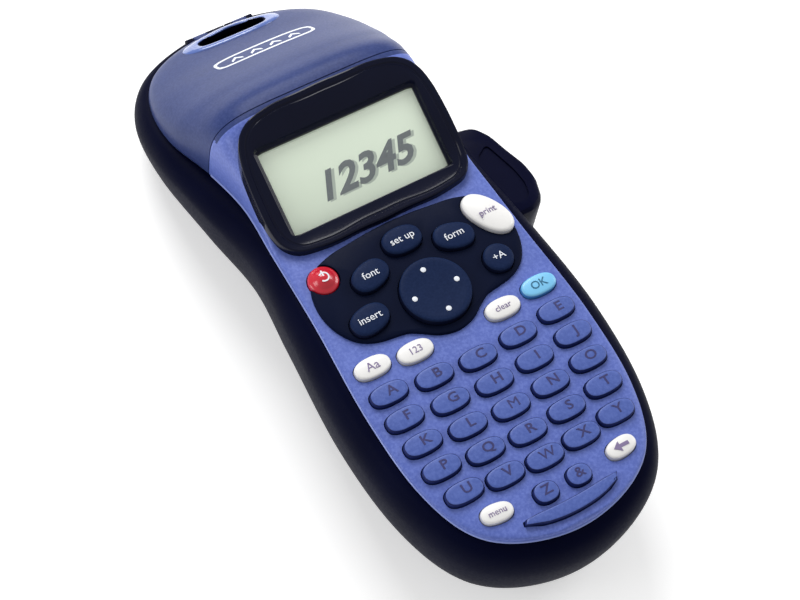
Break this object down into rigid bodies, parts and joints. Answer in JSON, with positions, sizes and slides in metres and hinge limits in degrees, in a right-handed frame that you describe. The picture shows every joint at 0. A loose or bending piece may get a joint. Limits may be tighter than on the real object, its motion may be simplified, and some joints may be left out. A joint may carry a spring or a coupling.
{
  "type": "handheld label maker",
  "caption": "Handheld thermal label maker with a sloping display, rubber-backed keys, side cutter lever, hinged tape lid and battery cover.",
  "frame": {"origin": "on the flat back, on the case's centre line and halfway along it", "axes": "+X to the right of the keypad, +Y towards the head and its label exit, +Z out of the keypad; it lies on its back"},
  "size_m": [0.0874, 0.1949, 0.0543],
  "materials": {
    "rear_housing": "very dark navy moulded ABS, satin with a fine spark texture",
    "front_housing": "periwinkle blue moulded ABS with fine metallic flake",
    "nav_panel": "dark navy satin panel",
    "display_bezel": "glossy near-black navy frame",
    "display_window": "clear polished acrylic lens",
    "lcd_module": "pale green-grey reflective LCD in a light frame",
    "main_board": "green solder-masked circuit board",
    "print_head": "thermal head on an aluminium carrier",
    "drive_motor": "plated steel motor can",
    "tape_cassette": "off-white moulded cassette",
    "tape_lid": "slate blue glossy moulded ABS",
    "battery_cover": "very dark navy moulded ABS",
    "cutter_lever": "very dark navy moulded ABS with rounded edges",
    "cutter_rod": "steel rod with a hardened blade",
    "return_spring": "spring steel wire",
    "platen_roller": "black silicone rubber on a steel shaft with a nylon gear",
    "motor_pinion": "natural acetal pinion",
    "tape_roll": "white label tape wound on a core",
    "power_key": "red glossy domed key",
    "format_key": "dark navy satin key",
    "settings_key": "dark navy satin key",
    "preview_key": "dark navy satin key",
    "insert_key": "dark navy satin key",
    "save_key": "dark navy satin key",
    "print_key": "white glossy key",
    "nav_disc": "dark navy satin key",
    "case_key": "white key",
    "digit_key": "white key",
    "back_key": "white key",
    "enter_key": "cyan key",
    "symbol_key": "white key",
    "accent_key": "white key",
    "space_key": "periwinkle key with a printed white-blue legend",
    "letter_key_1_1": "periwinkle key with a printed white-blue legend",
    "letter_key_1_2": "periwinkle key with a printed white-blue legend",
    "letter_key_1_3": "periwinkle key with a printed white-blue legend",
    "letter_key_1_4": "periwinkle key with a printed white-blue legend",
    "letter_key_1_5": "periwinkle key with a printed white-blue legend",
    "letter_key_2_1": "periwinkle key with a printed white-blue legend",
    "letter_key_2_2": "periwinkle key with a printed white-blue legend",
    "letter_key_2_3": "periwinkle key with a printed white-blue legend",
    "letter_key_2_4": "periwinkle key with a printed white-blue legend",
    "letter_key_2_5": "periwinkle key with a printed white-blue legend",
    "letter_key_3_1": "periwinkle key with a printed white-blue legend",
    "letter_key_3_2": "periwinkle key with a printed white-blue legend",
    "letter_key_3_3": "periwinkle key with a printed white-blue legend",
    "letter_key_3_4": "periwinkle key with a printed white-blue legend",
    "letter_key_3_5": "periwinkle key with a printed white-blue legend",
    "letter_key_4_1": "periwinkle key with a printed white-blue legend",
    "letter_key_4_2": "periwinkle key with a printed white-blue legend",
    "letter_key_4_3": "periwinkle key with a printed white-blue legend",
    "letter_key_4_4": "periwinkle key with a printed white-blue legend",
    "letter_key_4_5": "periwinkle key with a printed white-blue legend",
    "letter_key_5_1": "periwinkle key with a printed white-blue legend",
    "letter_key_5_2": "periwinkle key with a printed white-blue legend",
    "letter_key_5_3": "periwinkle key with a printed white-blue legend",
    "letter_key_5_4": "periwinkle key with a printed white-blue legend",
    "letter_key_5_5": "periwinkle key with a printed white-blue legend",
    "letter_key_6_1": "periwinkle key with a printed white-blue legend",
    "letter_key_6_2": "periwinkle key with a printed white-blue legend"
  },
  "bodies": {
    "case": {"rear_housing": "rear_housing", "front_housing": "front_housing", "nav_panel": "nav_panel", "display_bezel": "display_bezel", "display_window": "display_window", "lcd_module": "lcd_module", "main_board": "main_board", "print_head": "print_head", "drive_motor": "drive_motor", "tape_cassette": "tape_cassette"},
    "lid": {"tape_lid": "tape_lid"},
    "cover": {"battery_cover": "battery_cover"},
    "lever": {"cutter_lever": "cutter_lever"},
    "cutter": {"cutter_rod": "cutter_rod", "return_spring": "return_spring"},
    "platen": {"platen_roller": "platen_roller"},
    "pinion": {"motor_pinion": "motor_pinion"},
    "roll": {"tape_roll": "tape_roll"},
    "power_key": {"power_key": "power_key"},
    "format_key": {"format_key": "format_key"},
    "settings_key": {"settings_key": "settings_key"},
    "preview_key": {"preview_key": "preview_key"},
    "insert_key": {"insert_key": "insert_key"},
    "save_key": {"save_key": "save_key"},
    "print_key": {"print_key": "print_key"},
    "nav_disc": {"nav_disc": "nav_disc"},
    "case_key": {"case_key": "case_key"},
    "digit_key": {"digit_key": "digit_key"},
    "back_key": {"back_key": "back_key"},
    "enter_key": {"enter_key": "enter_key"},
    "symbol_key": {"symbol_key": "symbol_key"},
    "accent_key": {"accent_key": "accent_key"},
    "space_key": {"space_key": "space_key"},
    "letter_key_1_1": {"letter_key_1_1": "letter_key_1_1"},
    "letter_key_1_2": {"letter_key_1_2": "letter_key_1_2"},
    "letter_key_1_3": {"letter_key_1_3": "letter_key_1_3"},
    "letter_key_1_4": {"letter_key_1_4": "letter_key_1_4"},
    "letter_key_1_5": {"letter_key_1_5": "letter_key_1_5"},
    "letter_key_2_1": {"letter_key_2_1": "letter_key_2_1"},
    "letter_key_2_2": {"letter_key_2_2": "letter_key_2_2"},
    "letter_key_2_3": {"letter_key_2_3": "letter_key_2_3"},
    "letter_key_2_4": {"letter_key_2_4": "letter_key_2_4"},
    "letter_key_2_5": {"letter_key_2_5": "letter_key_2_5"},
    "letter_key_3_1": {"letter_key_3_1": "letter_key_3_1"},
    "letter_key_3_2": {"letter_key_3_2": "letter_key_3_2"},
    "letter_key_3_3": {"letter_key_3_3": "letter_key_3_3"},
    "letter_key_3_4": {"letter_key_3_4": "letter_key_3_4"},
    "letter_key_3_5": {"letter_key_3_5": "letter_key_3_5"},
    "letter_key_4_1": {"letter_key_4_1": "letter_key_4_1"},
    "letter_key_4_2": {"letter_key_4_2": "letter_key_4_2"},
    "letter_key_4_3": {"letter_key_4_3": "letter_key_4_3"},
    "letter_key_4_4": {"letter_key_4_4": "letter_key_4_4"},
    "letter_key_4_5": {"letter_key_4_5": "letter_key_4_5"},
    "letter_key_5_1": {"letter_key_5_1": "letter_key_5_1"},
    "letter_key_5_2": {"letter_key_5_2": "letter_key_5_2"},
    "letter_key_5_3": {"letter_key_5_3": "letter_key_5_3"},
    "letter_key_5_4": {"letter_key_5_4": "letter_key_5_4"},
    "letter_key_5_5": {"letter_key_5_5": "letter_key_5_5"},
    "letter_key_6_1": {"letter_key_6_1": "letter_key_6_1"},
    "letter_key_6_2": {"letter_key_6_2": "letter_key_6_2"}
  },
  "joints": [
    {"name": "lid_hinge", "type": "hinge", "parent": "case", "child": "lid", "pos_m": [0, 0.0962, 0.0112], "axis": [-1, 0, 0], "range_deg": [0, 75]},
    {"name": "cover_lift", "type": "slide", "parent": "case", "child": "cover", "axis": [0, 0, -1], "range_m": [0, 0.03]},
    {"name": "lever_press", "type": "hinge", "parent": "case", "child": "lever", "pos_m": [0.033, 0.024, 0.021], "axis": [0, 0, -1], "range_deg": [0, 12], "stiffness_Nm_per_rad": 0.6, "springref_deg": -5.73},
    {"name": "cutter_slide", "type": "slide", "parent": "case", "child": "cutter", "axis": [0, 1, 0], "range_m": [0, 0.0045], "deforming": ["return_spring"]},
    {"name": "platen_spin", "type": "hinge", "parent": "case", "child": "platen", "pos_m": [0, 0.07492, 0.01128], "axis": [1, 0, 0], "continuous": true},
    {"name": "pinion_spin", "type": "hinge", "parent": "case", "child": "pinion", "pos_m": [0, 0.06609, 0.01128], "axis": [1, 0, 0], "continuous": true},
    {"name": "roll_spin", "type": "hinge", "parent": "case", "child": "roll", "pos_m": [0, 0.0546, 0.02], "axis": [1, 0, 0], "continuous": true},
    {"name": "power_key_press", "type": "slide", "parent": "case", "child": "power_key", "axis": [0, 0, -1], "range_m": [0, 0.001], "stiffness_N_per_m": 400, "springref_m": -0.0004},
    {"name": "format_key_press", "type": "slide", "parent": "case", "child": "format_key", "axis": [0, 0, -1], "range_m": [0, 0.001], "stiffness_N_per_m": 400, "springref_m": -0.0004},
    {"name": "settings_key_press", "type": "slide", "parent": "case", "child": "settings_key", "axis": [0, 0, -1], "range_m": [0, 0.001], "stiffness_N_per_m": 400, "springref_m": -0.0004},
    {"name": "preview_key_press", "type": "slide", "parent": "case", "child": "preview_key", "axis": [0, 0, -1], "range_m": [0, 0.001], "stiffness_N_per_m": 400, "springref_m": -0.0004},
    {"name": "insert_key_press", "type": "slide", "parent": "case", "child": "insert_key", "axis": [0, 0, -1], "range_m": [0, 0.001], "stiffness_N_per_m": 400, "springref_m": -0.0004},
    {"name": "save_key_press", "type": "slide", "parent": "case", "child": "save_key", "axis": [0, 0, -1], "range_m": [0, 0.001], "stiffness_N_per_m": 400, "springref_m": -0.0004},
    {"name": "print_key_press", "type": "slide", "parent": "case", "child": "print_key", "axis": [0, 0, -1], "range_m": [0, 0.001], "stiffness_N_per_m": 400, "springref_m": -0.0004},
    {"name": "nav_disc_press", "type": "slide", "parent": "case", "child": "nav_disc", "axis": [0, 0, -1], "range_m": [0, 0.001], "stiffness_N_per_m": 400, "springref_m": -0.0004},
    {"name": "case_key_press", "type": "slide", "parent": "case", "child": "case_key", "axis": [0, 0, -1], "range_m": [0, 0.001], "stiffness_N_per_m": 400, "springref_m": -0.0004},
    {"name": "digit_key_press", "type": "slide", "parent": "case", "child": "digit_key", "axis": [0, 0, -1], "range_m": [0, 0.001], "stiffness_N_per_m": 400, "springref_m": -0.0004},
    {"name": "back_key_press", "type": "slide", "parent": "case", "child": "back_key", "axis": [0, 0, -1], "range_m": [0, 0.001], "stiffness_N_per_m": 400, "springref_m": -0.0004},
    {"name": "enter_key_press", "type": "slide", "parent": "case", "child": "enter_key", "axis": [0, 0, -1], "range_m": [0, 0.001], "stiffness_N_per_m": 400, "springref_m": -0.0004},
    {"name": "symbol_key_press", "type": "slide", "parent": "case", "child": "symbol_key", "axis": [0, 0, -1], "range_m": [0, 0.001], "stiffness_N_per_m": 400, "springref_m": -0.0004},
    {"name": "accent_key_press", "type": "slide", "parent": "case", "child": "accent_key", "axis": [0, 0, -1], "range_m": [0, 0.001], "stiffness_N_per_m": 400, "springref_m": -0.0004},
    {"name": "space_key_press", "type": "slide", "parent": "case", "child": "space_key", "axis": [0, 0, -1], "range_m": [0, 0.001], "stiffness_N_per_m": 400, "springref_m": -0.0004},
    {"name": "letter_key_1_1_press", "type": "slide", "parent": "case", "child": "letter_key_1_1", "axis": [0, 0, -1], "range_m": [0, 0.001], "stiffness_N_per_m": 400, "springref_m": -0.0004},
    {"name": "letter_key_1_2_press", "type": "slide", "parent": "case", "child": "letter_key_1_2", "axis": [0, 0, -1], "range_m": [0, 0.001], "stiffness_N_per_m": 400, "springref_m": -0.0004},
    {"name": "letter_key_1_3_press", "type": "slide", "parent": "case", "child": "letter_key_1_3", "axis": [0, 0, -1], "range_m": [0, 0.001], "stiffness_N_per_m": 400, "springref_m": -0.0004},
    {"name": "letter_key_1_4_press", "type": "slide", "parent": "case", "child": "letter_key_1_4", "axis": [0, 0, -1], "range_m": [0, 0.001], "stiffness_N_per_m": 400, "springref_m": -0.0004},
    {"name": "letter_key_1_5_press", "type": "slide", "parent": "case", "child": "letter_key_1_5", "axis": [0, 0, -1], "range_m": [0, 0.001], "stiffness_N_per_m": 400, "springref_m": -0.0004},
    {"name": "letter_key_2_1_press", "type": "slide", "parent": "case", "child": "letter_key_2_1", "axis": [0, 0, -1], "range_m": [0, 0.001], "stiffness_N_per_m": 400, "springref_m": -0.0004},
    {"name": "letter_key_2_2_press", "type": "slide", "parent": "case", "child": "letter_key_2_2", "axis": [0, 0, -1], "range_m": [0, 0.001], "stiffness_N_per_m": 400, "springref_m": -0.0004},
    {"name": "letter_key_2_3_press", "type": "slide", "parent": "case", "child": "letter_key_2_3", "axis": [0, 0, -1], "range_m": [0, 0.001], "stiffness_N_per_m": 400, "springref_m": -0.0004},
    {"name": "letter_key_2_4_press", "type": "slide", "parent": "case", "child": "letter_key_2_4", "axis": [0, 0, -1], "range_m": [0, 0.001], "stiffness_N_per_m": 400, "springref_m": -0.0004},
    {"name": "letter_key_2_5_press", "type": "slide", "parent": "case", "child": "letter_key_2_5", "axis": [0, 0, -1], "range_m": [0, 0.001], "stiffness_N_per_m": 400, "springref_m": -0.0004},
    {"name": "letter_key_3_1_press", "type": "slide", "parent": "case", "child": "letter_key_3_1", "axis": [0, 0, -1], "range_m": [0, 0.001], "stiffness_N_per_m": 400, "springref_m": -0.0004},
    {"name": "letter_key_3_2_press", "type": "slide", "parent": "case", "child": "letter_key_3_2", "axis": [0, 0, -1], "range_m": [0, 0.001], "stiffness_N_per_m": 400, "springref_m": -0.0004},
    {"name": "letter_key_3_3_press", "type": "slide", "parent": "case", "child": "letter_key_3_3", "axis": [0, 0, -1], "range_m": [0, 0.001], "stiffness_N_per_m": 400, "springref_m": -0.0004},
    {"name": "letter_key_3_4_press", "type": "slide", "parent": "case", "child": "letter_key_3_4", "axis": [0, 0, -1], "range_m": [0, 0.001], "stiffness_N_per_m": 400, "springref_m": -0.0004},
    {"name": "letter_key_3_5_press", "type": "slide", "parent": "case", "child": "letter_key_3_5", "axis": [0, 0, -1], "range_m": [0, 0.001], "stiffness_N_per_m": 400, "springref_m": -0.0004},
    {"name": "letter_key_4_1_press", "type": "slide", "parent": "case", "child": "letter_key_4_1", "axis": [0, 0, -1], "range_m": [0, 0.001], "stiffness_N_per_m": 400, "springref_m": -0.0004},
    {"name": "letter_key_4_2_press", "type": "slide", "parent": "case", "child": "letter_key_4_2", "axis": [0, 0, -1], "range_m": [0, 0.001], "stiffness_N_per_m": 400, "springref_m": -0.0004},
    {"name": "letter_key_4_3_press", "type": "slide", "parent": "case", "child": "letter_key_4_3", "axis": [0, 0, -1], "range_m": [0, 0.001], "stiffness_N_per_m": 400, "springref_m": -0.0004},
    {"name": "letter_key_4_4_press", "type": "slide", "parent": "case", "child": "letter_key_4_4", "axis": [0, 0, -1], "range_m": [0, 0.001], "stiffness_N_per_m": 400, "springref_m": -0.0004},
    {"name": "letter_key_4_5_press", "type": "slide", "parent": "case", "child": "letter_key_4_5", "axis": [0, 0, -1], "range_m": [0, 0.001], "stiffness_N_per_m": 400, "springref_m": -0.0004},
    {"name": "letter_key_5_1_press", "type": "slide", "parent": "case", "child": "letter_key_5_1", "axis": [0, 0, -1], "range_m": [0, 0.001], "stiffness_N_per_m": 400, "springref_m": -0.0004},
    {"name": "letter_key_5_2_press", "type": "slide", "parent": "case", "child": "letter_key_5_2", "axis": [0, 0, -1], "range_m": [0, 0.001], "stiffness_N_per_m": 400, "springref_m": -0.0004},
    {"name": "letter_key_5_3_press", "type": "slide", "parent": "case", "child": "letter_key_5_3", "axis": [0, 0, -1], "range_m": [0, 0.001], "stiffness_N_per_m": 400, "springref_m": -0.0004},
    {"name": "letter_key_5_4_press", "type": "slide", "parent": "case", "child": "letter_key_5_4", "axis": [0, 0, -1], "range_m": [0, 0.001], "stiffness_N_per_m": 400, "springref_m": -0.0004},
    {"name": "letter_key_5_5_press", "type": "slide", "parent": "case", "child": "letter_key_5_5", "axis": [0, 0, -1], "range_m": [0, 0.001], "stiffness_N_per_m": 400, "springref_m": -0.0004},
    {"name": "letter_key_6_1_press", "type": "slide", "parent": "case", "child": "letter_key_6_1", "axis": [0, 0, -1], "range_m": [0, 0.001], "stiffness_N_per_m": 400, "springref_m": -0.0004},
    {"name": "letter_key_6_2_press", "type": "slide", "parent": "case", "child": "letter_key_6_2", "axis": [0, 0, -1], "range_m": [0, 0.001], "stiffness_N_per_m": 400, "springref_m": -0.0004}
  ],
  "couplings": [
    {"joint": "cutter_slide", "follows": "lever_press", "m_per_rad": 0.021486},
    {"joint": "pinion_spin", "follows": "platen_spin", "ratio": -2.5},
    {"joint": "roll_spin", "follows": "platen_spin", "ratio": 0.3629}
  ]
}
